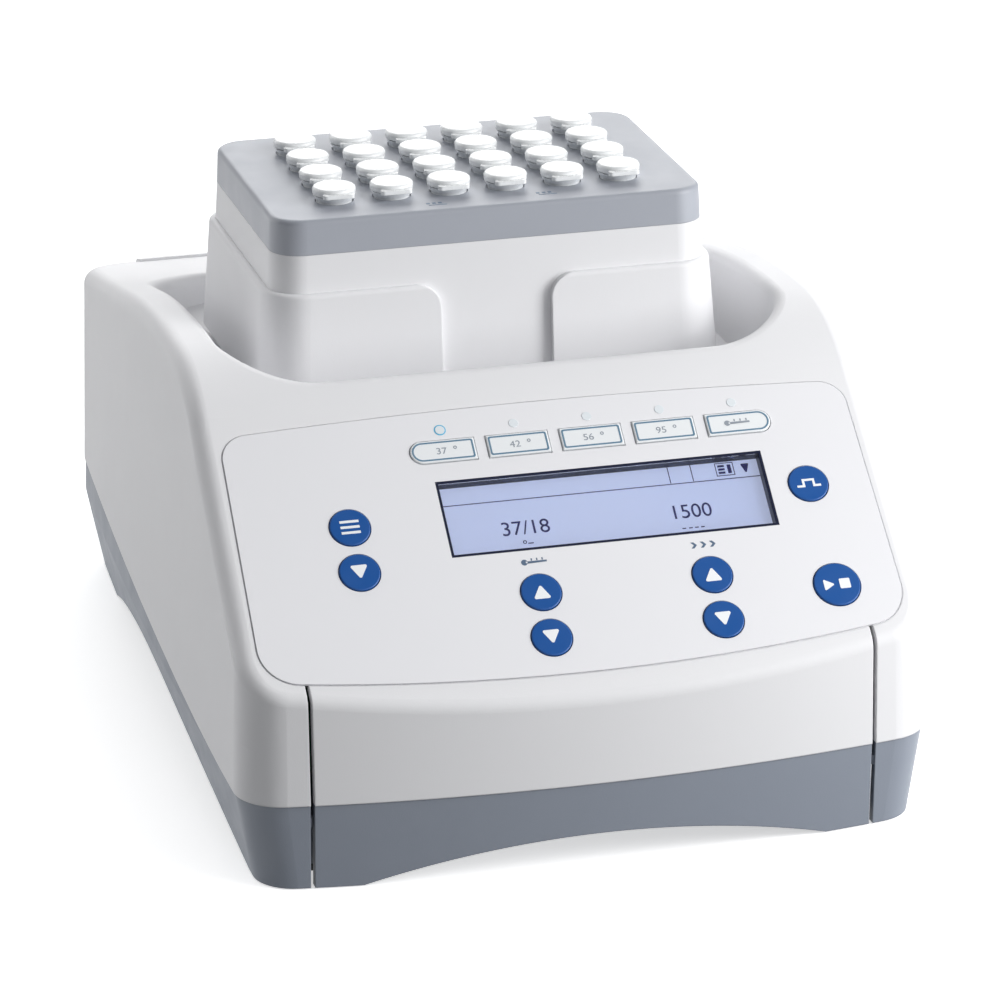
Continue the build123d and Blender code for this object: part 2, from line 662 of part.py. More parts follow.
with BuildPart() as lcd_module:
    with BuildSketch(PANEL.offset(-DISPLAY_DEPTH - LCD_THICK)):
        with Locations(DISPLAY_CENTRE):
            Rectangle(DISPLAY_SIZE[0] + 2, DISPLAY_SIZE[1] + 2)
    extrude(amount=LCD_THICK)
save(lcd_module, "lcd_module")

with BuildPart() as led_light_pipes:
    with BuildSketch(PANEL.offset(BOARD_TOP)):
        for preset_centre in PRESET_KEYS.values():
            with Locations((preset_centre[0], LED_ROW_V)):
                Circle(LED_RADIUS)
    extrude(amount=FOIL_PROUD + 0.1 - BOARD_TOP)
save(led_light_pipes, "led_light_pipes")

for key_name, key_centre in KEYS.items():
    with BuildPart() as key:
        extrude(key_plan(KEY_BOTTOM, key_name, key_centre, 0), amount=KEY_PROUD - KEY_BOTTOM)
        crown = key.faces().sort_by(Axis(PANEL.origin, PANEL.z_dir))[-1]
        fillet(crown.edges(), 0.35)
        extrude(key_plan(KEY_BOTTOM, key_name, key_centre, KEY_FLANGE), amount=KEY_FLANGE_TOP - KEY_BOTTOM)
    save(key, key_name)

with BuildPart() as keypad_board:
    with BuildSketch(PANEL.offset(BOARD_TOP - BOARD_THICK)):
        with Locations(KEYPAD_BOARD_CENTRE):
            RectangleRounded(*KEYPAD_BOARD_SIZE, 2)
        with Locations(DISPLAY_CENTRE):
            Rectangle(DISPLAY_SIZE[0] + 4, DISPLAY_SIZE[1] + 4, mode=Mode.SUBTRACT)
    extrude(amount=BOARD_THICK)
    with BuildSketch(PANEL.offset(BOARD_TOP)):
        with Locations(*KEYS.values()):
            Circle(SWITCH_RADIUS)
    extrude(amount=KEY_BOTTOM - KEY_TRAVEL - 0.1 - BOARD_TOP)
save(keypad_board, "keypad_board")

# ---- electronics ----
with BuildPart() as main_board:
    with BuildSketch(Plane.XY.offset(BOARD_Z)):
        with Locations(MAIN_BOARD_CENTRE):
            RectangleRounded(*MAIN_BOARD_SIZE, 3)
    extrude(amount=BOARD_THICK)
    for place, size, height in CHIPS + PLUGS:
        with BuildSketch(Plane.XY.offset(BOARD_Z + BOARD_THICK)):
            with Locations(place):
                Rectangle(*size)
        extrude(amount=height)
    with BuildSketch(Plane.XY.offset(BOARD_Z + BOARD_THICK)):
        with Locations(CAPACITOR_CENTRE):
            with GridLocations(CAPACITOR_PITCH, CAPACITOR_PITCH, 3, 2):
                Circle(CAPACITOR_RADIUS)
    extrude(amount=CAPACITOR_HEIGHT)
save(main_board, "main_board")

with BuildPart() as power_supply:
    with BuildSketch(Plane.XY.offset(BOARD_Z)):
        with Locations(SUPPLY_CENTRE):
            RectangleRounded(*SUPPLY_SIZE, 2)
    extrude(amount=BOARD_THICK)
    for place, size, height in (TRANSFORMER, CHOKE):
        with BuildSketch(Plane.XY.offset(BOARD_Z + BOARD_THICK)):
            with Locations(place):
                Rectangle(*size)
        extrude(amount=height)
    with BuildSketch(Plane.XY.offset(BOARD_Z + BOARD_THICK)):
        for place, radius in RESERVOIRS:
            with Locations(place):
                Circle(radius)
    extrude(amount=RESERVOIR_HEIGHT)
save(power_supply, "power_supply")

with BuildPart() as inlet_socket:
    with BuildSketch(rear_plane(INLET_FLANGE_Y)):
        with Locations((-INLET_X, INLET_Z)):
            RectangleRounded(*INLET_FLANGE, 1.5)
    extrude(amount=INLET_FACE_Y - INLET_FLANGE_Y)
    with BuildSketch(rear_plane(INLET_BACK_Y)):
        with Locations((-INLET_X, INLET_Z)):
            Rectangle(INLET_BODY[0] - 0.2, INLET_BODY[1] - 0.2)
    extrude(amount=INLET_FLANGE_Y - INLET_BACK_Y)
    with BuildSketch(rear_plane(INLET_FACE_Y - SOCKET_DEPTH)) as socket_plan:
        with Locations((-INLET_X, INLET_Z + SOCKET_DROP)):
            Rectangle(*SOCKET_SIZE)
        chamfer(socket_plan.vertices().group_by(Axis.Z)[-1], SOCKET_CHAMFER)
    extrude(amount=SOCKET_DEPTH + 1, mode=Mode.SUBTRACT)
    with BuildSketch(rear_plane(INLET_FACE_Y - FUSE_DEPTH)):
        with Locations((-INLET_X, INLET_Z + FUSE_RISE)):
            Rectangle(*FUSE_OPENING)
    extrude(amount=FUSE_DEPTH + 1, mode=Mode.SUBTRACT)
    with BuildSketch(rear_plane(INLET_FACE_Y - ROCKER_DEPTH)):
        with Locations((-INLET_X, INLET_Z + ROCKER_RISE)):
            Rectangle(*ROCKER_OPENING)
    extrude(amount=ROCKER_DEPTH + 1, mode=Mode.SUBTRACT)
    with BuildSketch(rear_plane(INLET_FACE_Y - SOCKET_DEPTH - 1)):
        with Locations((-INLET_X, INLET_Z + SOCKET_DROP)):
            with Locations((-7, -2), (7, -2), (0, 2)):
                Rectangle(*PIN_SIZE)
    extrude(amount=PIN_LENGTH + 1)
save(inlet_socket, "inlet_socket")

with BuildPart() as fuse_drawer:
    with BuildSketch(rear_plane(INLET_FACE_Y - FUSE_DEPTH + 1)):
        with Locations((-INLET_X, INLET_Z + FUSE_RISE)):
            Rectangle(FUSE_OPENING[0] - 0.7, FUSE_OPENING[1] - 0.7)
    extrude(amount=FUSE_DEPTH - 0.6)
    with BuildSketch(rear_plane(INLET_FACE_Y - FUSE_DEPTH + 3)):
        with Locations((-INLET_X, INLET_Z + FUSE_RISE + 1)):
            Rectangle(FUSE_OPENING[0] - 3, FUSE_OPENING[1] - 2)
    extrude(amount=FUSE_DEPTH - 7, mode=Mode.SUBTRACT)
save(fuse_drawer, "fuse_drawer")

with BuildPart() as power_rocker:
    tilted = Plane(
        origin=(INLET_X, ROCKER_PIVOT_Y, INLET_Z + ROCKER_RISE - ROCKER_HEIGHT / 2),
        x_dir=(cos(radians(ROCKER_TILT)), sin(radians(ROCKER_TILT)), 0),
        z_dir=(0, 0, 1),
    )
    with BuildSketch(tilted):
        with BuildLine():
            Polyline((-ROCKER_HALF, 4.2), (0, 6.0), (ROCKER_HALF, 4.2), (6, 0))
            ThreePointArc((6, 0), (0, -6), (-6, 0))
            Line((-6, 0), (-ROCKER_HALF, 4.2))
        make_face()
    extrude(amount=ROCKER_HEIGHT)
    fillet(power_rocker.edges().filter_by(Axis.Z).sort_by(Axis.Y)[-1], 1.5)
save(power_rocker, "power_rocker")

# ---- fan ----
with BuildPart() as fan_frame:
    with BuildSketch(rear_plane(FAN_FRONT_Y)):
        with Locations((-FAN_X, FAN_Z)):
            RectangleRounded(FAN_SIZE, FAN_SIZE, 4)
            Circle(FAN_BORE, mode=Mode.SUBTRACT)
            with GridLocations(FAN_HOLE_SPACING, FAN_HOLE_SPACING, 2, 2):
                Circle(2, mode=Mode.SUBTRACT)
    extrude(amount=FAN_THICK)
    with BuildSketch(rear_plane(FAN_FRONT_Y)):
        with Locations((-FAN_X, FAN_Z)):
            Circle(FAN_HUB + 1)
            with PolarLocations(FAN_BORE / 2 + 1, 4, start_angle=45):
                Rectangle(FAN_BORE + 1, 3)
    extrude(amount=3)
    with BuildSketch(rear_plane(FAN_FRONT_Y + 2)):
        with Locations((-FAN_X, FAN_Z)):
            Circle(FAN_PIN)
    extrude(amount=11)
save(fan_frame, "fan_frame")

with BuildPart() as fan_rotor:
    with BuildSketch(rear_plane(FAN_FRONT_Y + 3.4)):
        with Locations((-FAN_X, FAN_Z)):
            Circle(FAN_HUB)
            Circle(FAN_PIN + RUNNING, mode=Mode.SUBTRACT)
    extrude(amount=13)
    with BuildSketch(rear_plane(FAN_FRONT_Y + 14)):
        with Locations((-FAN_X, FAN_Z)):
            Circle(FAN_HUB)
    extrude(amount=3.4)
    for blade in range(BLADES):
        angle = radians(360 / BLADES * blade)
        outward = Vector(cos(angle), 0, sin(angle))
        blade_plane = Plane(
            origin=Vector(FAN_X, FAN_FRONT_Y + 10.5, FAN_Z) + outward * (FAN_HUB - 1),
            x_dir=(-sin(angle), 0, cos(angle)),
            z_dir=outward,
        )
        with BuildSketch(blade_plane):
            Rectangle(1.6, 14, rotation=38)
        extrude(amount=FAN_BORE - FAN_HUB)
save(fan_rotor, "fan_rotor")

# ---- drive ----
with BuildPart() as base_plate:
    with BuildSketch(Plane.XY.offset(PLATE_Z)):
        with Locations((0, BLOCK_Y)):
            RectangleRounded(*PLATE_SIZE, 8)
    extrude(amount=PLATE_THICK)
    with BuildSketch(Plane.XY.offset(PLATE_Z)):
        with Locations(DRIVE):
            Circle(MAIN_BEARING[0])
        with Locations(*IDLERS):
            Circle(IDLER_BEARING[0])
        with Locations(*PLATE_POSTS):
            Circle(SCREW_RADIUS)
        with Locations((0, BLOCK_Y - 44), (0, BLOCK_Y + 44)):
            SlotOverall(56, 14)
    extrude(amount=PLATE_THICK, mode=Mode.SUBTRACT)
save(base_plate, "base_plate")


def bearings(main_centre, main_z, idler_centres, idler_z):
    """The drive's bearing and the idlers' bearings, as a group of rings."""
    with BuildPart() as group:
        with BuildSketch(Plane.XY.offset(main_z)):
            with Locations(main_centre):
                Circle(MAIN_BEARING[0])
                Circle(MAIN_SHAFT + RUNNING, mode=Mode.SUBTRACT)
        extrude(amount=MAIN_BEARING[1])
        with BuildSketch(Plane.XY.offset(idler_z)):
            with Locations(*idler_centres):
                Circle(IDLER_BEARING[0])
                Circle(IDLER_SHAFT + RUNNING, mode=Mode.SUBTRACT)
        extrude(amount=IDLER_BEARING[1])
    return group.part


with BuildPart() as base_bearings:
    add(bearings(DRIVE, PLATE_Z, IDLERS, PLATE_Z))
save(base_bearings, "base_bearings")

with BuildPart() as drive_motor:
    with BuildSketch(Plane.XY.offset(MOTOR_BOTTOM)):
        with Locations(DRIVE):
            Circle(MOTOR_RADIUS)
    extrude(amount=PLATE_Z - MOTOR_BOTTOM)
    fillet(drive_motor.edges().sort_by(Axis.Z)[0], 2)
    with BuildSketch(Plane.XY.offset(PLATE_Z - 4)):
        with Locations(DRIVE):
            RectangleRounded(MOTOR_FLANGE, MOTOR_FLANGE, 8)
    extrude(amount=4)
    with BuildSketch(Plane.XY.offset(MOTOR_BOTTOM + 4)):
        with Locations(DRIVE):
            Circle(MAIN_SHAFT + 0.5)
    extrude(amount=PLATE_Z - MOTOR_BOTTOM, mode=Mode.SUBTRACT)
save(drive_motor, "drive_motor")


def crank(axis, shaft, low, web_low, web_radius, web_high, pin_high):
    """An eccentric crank: shaft on its own axis, round web, and a pin set off by the orbit's radius."""
    with BuildPart() as shape:
        with BuildSketch(Plane.XY.offset(low)):
            with Locations(axis):
                Circle(shaft)
        extrude(amount=web_low - low)
        with BuildSketch(Plane.XY.offset(web_low)):
            with Locations(axis):
                Circle(web_radius)
        extrude(amount=web_high - web_low)
        with BuildSketch(Plane.XY.offset(web_high)):
            with Locations((axis[0] + ORBIT_RADIUS, axis[1])):
                Circle(shaft)
        extrude(amount=pin_high - web_high)
    return shape.part


with BuildPart() as drive_eccentric:
    add(crank(DRIVE, MAIN_SHAFT, MOTOR_BOTTOM + 5, WEB_Z, WEB_RADIUS, WEB_HIGH, PIN_TOP))
save(drive_eccentric, "drive_eccentric")

with BuildPart() as counterweight:
    with BuildSketch(Plane.XY.offset(WEB_Z)):
        with Locations(DRIVE):
            Circle(WEIGHT_RADIUS)
            Circle(WEB_RADIUS, mode=Mode.SUBTRACT)
        with Locations((DRIVE[0] + WEIGHT_RADIUS / 2 + 0.5, DRIVE[1])):
            Rectangle(WEIGHT_RADIUS + 1, 2 * WEIGHT_RADIUS + 2, mode=Mode.SUBTRACT)
    extrude(amount=WEB_HIGH - WEB_Z + 1.5)
save(counterweight, "counterweight")

for number, idler in enumerate(IDLERS):
    with BuildPart() as idler_eccentric:
        add(crank(idler, IDLER_SHAFT, PLATE_Z - 2, IDLER_WEB_Z, IDLER_WEB_RADIUS, IDLER_WEB_HIGH, PIN_TOP))
    save(idler_eccentric, f"idler_eccentric_{number + 1}")

# ---- platform and block ----
with BuildPart() as mixing_platform:
    with BuildSketch(Plane.XY.offset(PLATFORM_Z)):
        with Locations((0, BLOCK_Y)):
            RectangleRounded(*PLATFORM_SIZE, 8)
    extrude(amount=PLATFORM_THICK)
    with BuildSketch(Plane.XY.offset(MAIN_BEARING_Z)):
        with Locations(MAIN_PIN):
            Circle(MAIN_BEARING[0] + 3)
    extrude(amount=3)
    with BuildSketch(Plane.XY.offset(PLATFORM_Z + PLATFORM_THICK)):
        with Locations((0, BLOCK_Y)):
            RectangleRounded(*PEDESTAL, 6)
            offset(amount=-PEDESTAL_WALL, mode=Mode.SUBTRACT)
    extrude(amount=SEAT_Z - PLATFORM_Z - PLATFORM_THICK)
    with BuildSketch(Plane.XY.offset(SEAT_Z)):
        with Locations((0, BLOCK_Y)):
            RectangleRounded(ALU_SIZE[0] + 4, ALU_SIZE[1], 6)
        with Locations(*BLOCK_SCREWS):
            Circle(SCREW_RADIUS, mode=Mode.SUBTRACT)
    extrude(amount=SEAT_THICK)
    with BuildSketch(Plane.XY.offset(MAIN_BEARING_Z)):
        with Locations(MAIN_PIN):
            Circle(MAIN_BEARING[0])
        with Locations(*IDLER_PINS):
            Circle(IDLER_BEARING[0])
    extrude(amount=PLATFORM_Z + PLATFORM_THICK - MAIN_BEARING_Z, mode=Mode.SUBTRACT)
save(mixing_platform, "mixing_platform")

with BuildPart() as platform_bearings:
    add(bearings(MAIN_PIN, MAIN_BEARING_Z, IDLER_PINS, PLATFORM_Z))
save(platform_bearings, "platform_bearings")

with BuildPart() as heating_mat:
    with BuildSketch(Plane.XY.offset(MAT_Z)):
        with Locations((0, BLOCK_Y)):
            RectangleRounded(ALU_SIZE[0], ALU_SIZE[1] - 2, 5)
            Circle(SENSOR_RADIUS, mode=Mode.SUBTRACT)
        with Locations(*BLOCK_SCREWS):
            Circle(SCREW_RADIUS, mode=Mode.SUBTRACT)
    extrude(amount=MAT_THICK)
save(heating_mat, "heating_mat")

with BuildPart() as bore_cutter:
    with BuildSketch(Plane.XZ):
        with BuildLine():
            Polyline(
                (0, BORE_END_Z), (2.9, BORE_END_Z), (TUBE_RADIUS + TUBE_GAP, BORE_STRAIGHT_Z),
                (TUBE_RADIUS + TUBE_GAP, BLOCK_TOP_Z + 1), (0, BLOCK_TOP_Z + 1), close=True,
            )
        make_face()
    revolve(axis=Axis.Z)

with BuildPart() as tube_block:
    with BuildSketch(Plane.XY.offset(ALU_Z)):
        with Locations((0, BLOCK_Y)):
            RectangleRounded(*ALU_SIZE, 5)
            Circle(SENSOR_RADIUS, mode=Mode.SUBTRACT)
    extrude(amount=ALU_TOP - ALU_Z)
    with BuildSketch(Plane.XY.offset(ALU_Z + SENSOR_DEPTH)):
        with Locations((0, BLOCK_Y)):
            Circle(SENSOR_RADIUS)
    extrude(amount=ALU_TOP - ALU_Z - SENSOR_DEPTH)
    with BuildSketch(Plane.XY.offset(ALU_Z)):
        with Locations(*BLOCK_SCREWS):
            Circle(SCREW_RADIUS)
    extrude(amount=SENSOR_DEPTH, mode=Mode.SUBTRACT)
    with Locations((0, BLOCK_Y)):
        with GridLocations(TUBE_PITCH, TUBE_PITCH, TUBE_COLUMNS, TUBE_ROWS):
            add(bore_cutter.part, mode=Mode.SUBTRACT)
save(tube_block, "tube_block")

with BuildPart() as temperature_sensor:
    with BuildSketch(Plane.XY.offset(MAT_Z)):
        with Locations((0, BLOCK_Y)):
            Circle(SENSOR_RADIUS)
    extrude(amount=MAT_THICK + SENSOR_DEPTH)
save(temperature_sensor, "temperature_sensor")


def tapered(levels):
    """A rounded block between two heights, each given as (height, size in x, size in y, corner radius)."""
    with BuildPart() as form:
        for height, size_x, size_y, corner in levels:
            with BuildSketch(Plane.XY.offset(height)):
                with Locations((0, BLOCK_Y)):
                    RectangleRounded(size_x, size_y, corner)
        loft()
    return form.part


with BuildPart() as block_cap:
    add(tapered([(CAP_LOW_Z, *CAP_LOW_SIZE, CAP_CORNER), (BLOCK_TOP_Z, *CAP_SIZE, CAP_CORNER)]))
    fillet(block_cap.faces().sort_by(Axis.Z)[-1].edges(), CAP_ROUND)
    with BuildSketch(Plane.XY.offset(CAP_LOW_Z)):
        with Locations((0, BLOCK_Y)):
            RectangleRounded(*TONGUE, CAP_CORNER - 3)
    extrude(amount=CAP_HEIGHT - CAP_PLATE, mode=Mode.SUBTRACT)
    with BuildSketch(Plane.XY.offset(CAP_LOW_Z)):
        with Locations((0, BLOCK_Y)):
            with GridLocations(TUBE_PITCH, TUBE_PITCH, TUBE_COLUMNS, TUBE_ROWS):
                Circle(TUBE_RADIUS + TUBE_GAP)
    extrude(amount=CAP_HEIGHT, mode=Mode.SUBTRACT)
save(block_cap, "block_cap")

skirt_levels = [(SKIRT_BOTTOM_Z, *SKIRT_LOW_SIZE, CAP_CORNER + 1), (CAP_LOW_Z, *CAP_LOW_SIZE, CAP_CORNER)]
skirt_form = tapered(skirt_levels)
with BuildPart() as block_skirt:
    add(skirt_form)
    inside = [(SKIRT_BOTTOM_Z, *SKIRT_INSIDE, CAP_CORNER - 2), (CAP_LOW_Z, *TONGUE_INSIDE, CAP_CORNER - 5)]
    add(tapered(inside), mode=Mode.SUBTRACT)
    with BuildSketch(Plane.XY.offset(CAP_LOW_Z)):
        with Locations((0, BLOCK_Y)):
            RectangleRounded(*TONGUE, CAP_CORNER - 3)
            RectangleRounded(*TONGUE_INSIDE, CAP_CORNER - 5, mode=Mode.SUBTRACT)
    extrude(amount=3)
save(block_skirt, "block_skirt")

with BuildPart() as block_collar:
    collar_low, collar_top = (SKIRT_BOTTOM_Z, *COLLAR_LOW_SIZE), (COLLAR_TOP_Z, *COLLAR_TOP_SIZE)
    add(tapered([(*collar_low, CAP_CORNER + 4), (*collar_top, CAP_CORNER + 3)]))
    fillet(block_collar.faces().sort_by(Axis.Z)[-1].edges(), 1.3)
    add(skirt_form, mode=Mode.SUBTRACT)
    with BuildSketch(Plane.XZ.offset(-BLOCK_Y)):
        with BuildLine():
            high, wide = COLLAR_TOP_Z + 2, COLLAR_SLOT + COLLAR_SLOT_ROUND
            shoulder_z = COLLAR_TOP_Z - COLLAR_SLOT_ROUND
            low = SKIRT_BOTTOM_Z - 1
            left, right = (-COLLAR_SLOT, shoulder_z), (COLLAR_SLOT, shoulder_z)
            Polyline(left, (-COLLAR_SLOT, low), (COLLAR_SLOT, low), right)
            RadiusArc((COLLAR_SLOT, shoulder_z), (wide, COLLAR_TOP_Z), COLLAR_SLOT_ROUND)
            Polyline((wide, COLLAR_TOP_Z), (wide, high), (-wide, high), (-wide, COLLAR_TOP_Z))
            RadiusArc((-wide, COLLAR_TOP_Z), (-COLLAR_SLOT, shoulder_z), COLLAR_SLOT_ROUND)
        make_face()
    extrude(amount=COLLAR_LOW_SIZE[1], mode=Mode.SUBTRACT)
save(block_collar, "block_collar")

# ---- tubes: one row is one group of six, and so is its row of lids ----
with BuildPart() as tube_shape:
    with BuildSketch(Plane.XZ):
        with BuildLine():
            Polyline(
                (0, TUBE_TIP_Z), (1.6, TUBE_TIP_Z), (2.4, TUBE_TIP_Z + 1.4), (TUBE_RADIUS, TUBE_STRAIGHT_Z),
                (TUBE_RADIUS, FLANGE_LOW), (FLANGE_RADIUS - 0.2, FLANGE_HIGH),
                (TUBE_RADIUS - TUBE_WALL, FLANGE_HIGH), (TUBE_RADIUS - TUBE_WALL, TUBE_STRAIGHT_Z),
                (1.4, TUBE_TIP_Z + 1.6), (0, TUBE_TIP_Z + 1.2), close=True,
            )
        make_face()
    revolve(axis=Axis.Z)
    with BuildSketch(Plane.XY.offset(FLANGE_LOW)):
        with Locations((0, (FLANGE_RADIUS + HINGE_REACH) / 2)):
            Rectangle(STRAP_WIDTH, HINGE_REACH - FLANGE_RADIUS + 1.2)
    extrude(amount=1)

with BuildPart() as lid_shape:
    with BuildSketch(Plane.XZ):
        with BuildLine():
            Polyline(
                (0, LID_HIGH), (0, LID_LOW), (PLUG_INSIDE, LID_LOW), (PLUG_INSIDE, LID_LOW - PLUG_DEPTH),
                (PLUG_RADIUS - 0.2, LID_LOW - PLUG_DEPTH), (PLUG_RADIUS, LID_LOW),
                (FLANGE_RADIUS - 0.1, LID_LOW), (FLANGE_RADIUS, LID_HIGH - 1.0),
            )
            lid_edge, lid_crown = (FLANGE_RADIUS, LID_HIGH - 1.0), (FLANGE_RADIUS - 1.1, LID_HIGH - 0.15)
            ThreePointArc(lid_edge, (FLANGE_RADIUS - 0.3, LID_HIGH - 0.42), lid_crown)
            Polyline(lid_crown, (PLUG_INSIDE, LID_HIGH), (0, LID_HIGH))
        make_face()
    revolve(axis=Axis.Z)
    with BuildSketch(Plane.XY.offset(LID_LOW)):
        with Locations((0, (FLANGE_RADIUS + HINGE_REACH) / 2)):
            Rectangle(STRAP_WIDTH, HINGE_REACH - FLANGE_RADIUS + 1.2)
        with Locations((0, -FLANGE_RADIUS + 0.1)):
            RectangleRounded(*LIP_SIZE, LIP_SIZE[1] / 2 - 0.1)
    extrude(amount=2 * (HINGE_Z - LID_LOW))

for row, letter in enumerate("abcd"):
    row_y = BLOCK_Y + (row - (TUBE_ROWS - 1) / 2) * TUBE_PITCH
    with BuildPart() as tube_row:
        with Locations((0, row_y)):
            with GridLocations(TUBE_PITCH, TUBE_PITCH, TUBE_COLUMNS, 1):
                add(tube_shape.part)
    save(tube_row, f"tube_row_{letter}")
    with BuildPart() as tube_lids:
        with Locations((0, row_y)):
            with GridLocations(TUBE_PITCH, TUBE_PITCH, TUBE_COLUMNS, 1):
                add(lid_shape.part)
    save(tube_lids, f"tube_lids_{letter}")

# ---- feet and screws ----
def screws(places, seat, length, down):
    """A group of pan-head screws whose heads rest on a seat; down is 1 where they point down, -1 where up."""
    with BuildPart() as group:
        with BuildSketch(Plane.XY.offset(seat if down > 0 else seat - HEAD_HEIGHT)):
            with Locations(*places):
                Circle(HEAD_RADIUS)
        extrude(amount=HEAD_HEIGHT)
        with BuildSketch(Plane.XY.offset(seat - length if down > 0 else seat)):
            with Locations(*places):
                Circle(SCREW_RADIUS)
        extrude(amount=length)
    return group.part


with BuildPart() as housing_screws:
    add(screws(POSTS, FLOOR_Z, SCREW_DEPTH, -1))
save(housing_screws, "housing_screws")

with BuildPart() as plate_screws:
    add(screws(PLATE_POSTS, PLATE_Z + PLATE_THICK, SCREW_DEPTH, 1))
save(plate_screws, "plate_screws")

with BuildPart() as block_screws:
    add(screws(BLOCK_SCREWS, SEAT_Z, SEAT_THICK + MAT_THICK + SENSOR_DEPTH - 1, -1))
save(block_screws, "block_screws")

with BuildPart() as rubber_feet:
    with BuildSketch(Plane.XY):
        with Locations(*FEET):
            Circle(FOOT_CUP_RADIUS - 1)
    extrude(amount=FOOT_HEIGHT)
    chamfer(rubber_feet.faces().group_by(Axis.Z)[0].edges(), 0.8)
save(rubber_feet, "rubber_feet")
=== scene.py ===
"""Looks of the benchtop thermal mixer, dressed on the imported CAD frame.

Lengths of the flat marks are written in millimetres on their own plane and scaled as they are placed.
"""

import json
from math import cos, radians, sin

import bmesh
import bpy
from mathutils import Matrix, Vector


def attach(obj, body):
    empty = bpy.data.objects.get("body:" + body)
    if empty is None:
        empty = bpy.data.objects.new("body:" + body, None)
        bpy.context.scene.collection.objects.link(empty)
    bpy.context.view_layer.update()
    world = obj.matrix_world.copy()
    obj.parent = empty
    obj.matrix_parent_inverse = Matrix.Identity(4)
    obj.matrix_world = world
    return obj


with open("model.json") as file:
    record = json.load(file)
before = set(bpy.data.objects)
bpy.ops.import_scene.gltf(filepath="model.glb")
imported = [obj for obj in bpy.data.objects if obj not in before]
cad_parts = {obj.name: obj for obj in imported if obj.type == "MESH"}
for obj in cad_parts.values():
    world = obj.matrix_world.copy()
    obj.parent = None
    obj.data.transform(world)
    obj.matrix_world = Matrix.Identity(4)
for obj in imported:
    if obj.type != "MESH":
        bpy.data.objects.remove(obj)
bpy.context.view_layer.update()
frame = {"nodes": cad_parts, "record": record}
nodes = frame["nodes"]
MM = 0.001

# ---- camera: the photograph's angle ----
YAW = radians(14.72)
PITCH = radians(20.0)
ROLL = radians(-0.5)
LENS = 188.01
SENSOR = 36.0
DISTANCE = 1.5667
TARGET = Vector((-0.0001, -0.0395, 0.0724))


def place_camera():
    """A camera at the photograph's yaw, pitch and roll, looking at the middle of the picture."""
    back = Vector((-sin(YAW) * cos(PITCH), -cos(YAW) * cos(PITCH), sin(PITCH)))
    level = Vector((cos(YAW), -sin(YAW), 0))
    upright = level.cross(-back)
    right = level * cos(ROLL) + upright * sin(ROLL)
    up = upright * cos(ROLL) - level * sin(ROLL)
    data = bpy.data.cameras.new("camera")
    data.lens = LENS
    data.sensor_width = SENSOR
    camera = bpy.data.objects.new("camera", data)
    turn = Matrix((right, up, back)).transposed().to_4x4()
    camera.matrix_world = Matrix.Translation(TARGET + back * DISTANCE) @ turn
    bpy.context.scene.collection.objects.link(camera)
    bpy.context.scene.camera = camera


place_camera()


# ---- materials ----
def linear(red, green, blue):
    """A colour given as 0 to 255 display values, in Blender's linear numbers."""
    levels = []
    for value in (red, green, blue):
        level = value / 255
        levels.append(level / 12.92 if level <= 0.04045 else ((level + 0.055) / 1.055) ** 2.4)
    return (*levels, 1)


def noise(tree, scale, detail, coordinates):
    """A noise texture on the object's own coordinates; scale counts features per metre."""
    node = tree.nodes.new("ShaderNodeTexNoise")
    node.inputs["Scale"].default_value = scale
    node.inputs["Detail"].default_value = detail
    tree.links.new(coordinates, node.inputs["Vector"])
    return node.outputs["Fac"]


def ranged(tree, value, low, high):
    """A 0 to 1 value spread over a range, taken from the noise's usual middle band."""
    node = tree.nodes.new("ShaderNodeMapRange")
    node.inputs["From Min"].default_value = 0.3
    node.inputs["From Max"].default_value = 0.7
    node.inputs["To Min"].default_value = low
    node.inputs["To Max"].default_value = high
    tree.links.new(value, node.inputs["Value"])
    return node.outputs["Result"]


def shade_between(tree, factor, first, second):
    """A colour that drifts between two close tones."""
    node = tree.nodes.new("ShaderNodeMix")
    node.data_type = "RGBA"
    node.inputs["A"].default_value = first
    node.inputs["B"].default_value = second
    tree.links.new(factor, node.inputs["Factor"])
    return node.outputs["Result"]


def finish(name, tone, drift=0.02, rough=(0.35, 0.45), cloud=14, grain=2600, depth=0.02, edge=0.0, **sockets):
    """A procedural finish: a drifting tone, uneven gloss, a fine grain and softened edges.

    tone is a display colour, drift how far it wanders, cloud and grain are features per metre,
    depth is the grain's height in millimetres, and edge the radius in millimetres that softens sharp edges.
    """
    material = bpy.data.materials.new(name)
    material.use_nodes = True
    tree = material.node_tree
    shader = tree.nodes["Principled BSDF"]
    coordinates = tree.nodes.new("ShaderNodeTexCoord").outputs["Object"]
    clouds = noise(tree, cloud, 4, coordinates)
    base = linear(*tone)
    darker = tuple(channel * (1 - drift) for channel in base[:3]) + (1,)
    lighter = tuple(min(1, channel * (1 + drift)) for channel in base[:3]) + (1,)
    tree.links.new(shade_between(tree, clouds, darker, lighter), shader.inputs["Base Color"])
    patches = noise(tree, cloud * 9, 3, coordinates)
    tree.links.new(ranged(tree, patches, *rough), shader.inputs["Roughness"])
    bump = tree.nodes.new("ShaderNodeBump")
    bump.inputs["Strength"].default_value = 1
    bump.inputs["Distance"].default_value = depth * MM
    tree.links.new(noise(tree, grain, 2, coordinates), bump.inputs["Height"])
    if edge:
        soft = tree.nodes.new("ShaderNodeBevel")
        soft.samples = 4
        soft.inputs["Radius"].default_value = edge * MM
        tree.links.new(soft.outputs["Normal"], bump.inputs["Normal"])
    tree.links.new(bump.outputs["Normal"], shader.inputs["Normal"])
    for socket, value in sockets.items():
        shader.inputs[socket.replace("_", " ")].default_value = value
    return material


